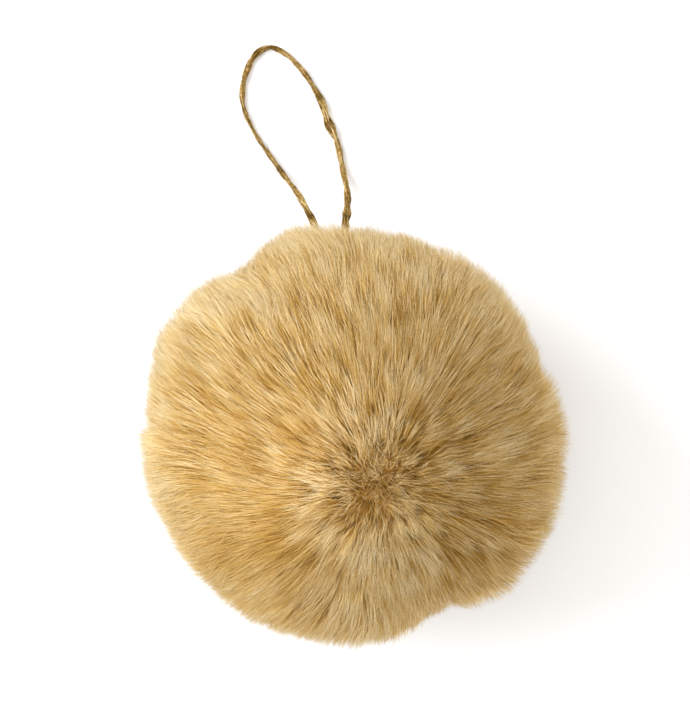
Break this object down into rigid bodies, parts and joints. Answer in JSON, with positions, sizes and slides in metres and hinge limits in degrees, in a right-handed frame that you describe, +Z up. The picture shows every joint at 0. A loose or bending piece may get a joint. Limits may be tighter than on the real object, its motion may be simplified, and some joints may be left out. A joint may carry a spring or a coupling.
{
  "type": "pom pom",
  "caption": "Round long-pile pom pom in golden beige, lying on a surface, with a slack hanging loop of twisted natural twine.",
  "frame": {"origin": "On the surface, under the middle of the ball", "axes": "+Z up, +Y from the ball towards the side where the twine comes out, +X to the right as seen from above with +Y away"},
  "size_m": [0.0998, 0.1426, 0.0945],
  "materials": {
    "fur_pile": "soft long pile, golden beige with paler tips and brown depths",
    "jute_twine": "dull, slightly hairy natural fibre"
  },
  "bodies": {
    "root": {"pompom": "fur_pile", "hang_loop": "jute_twine"}
  },
  "joints": []
}
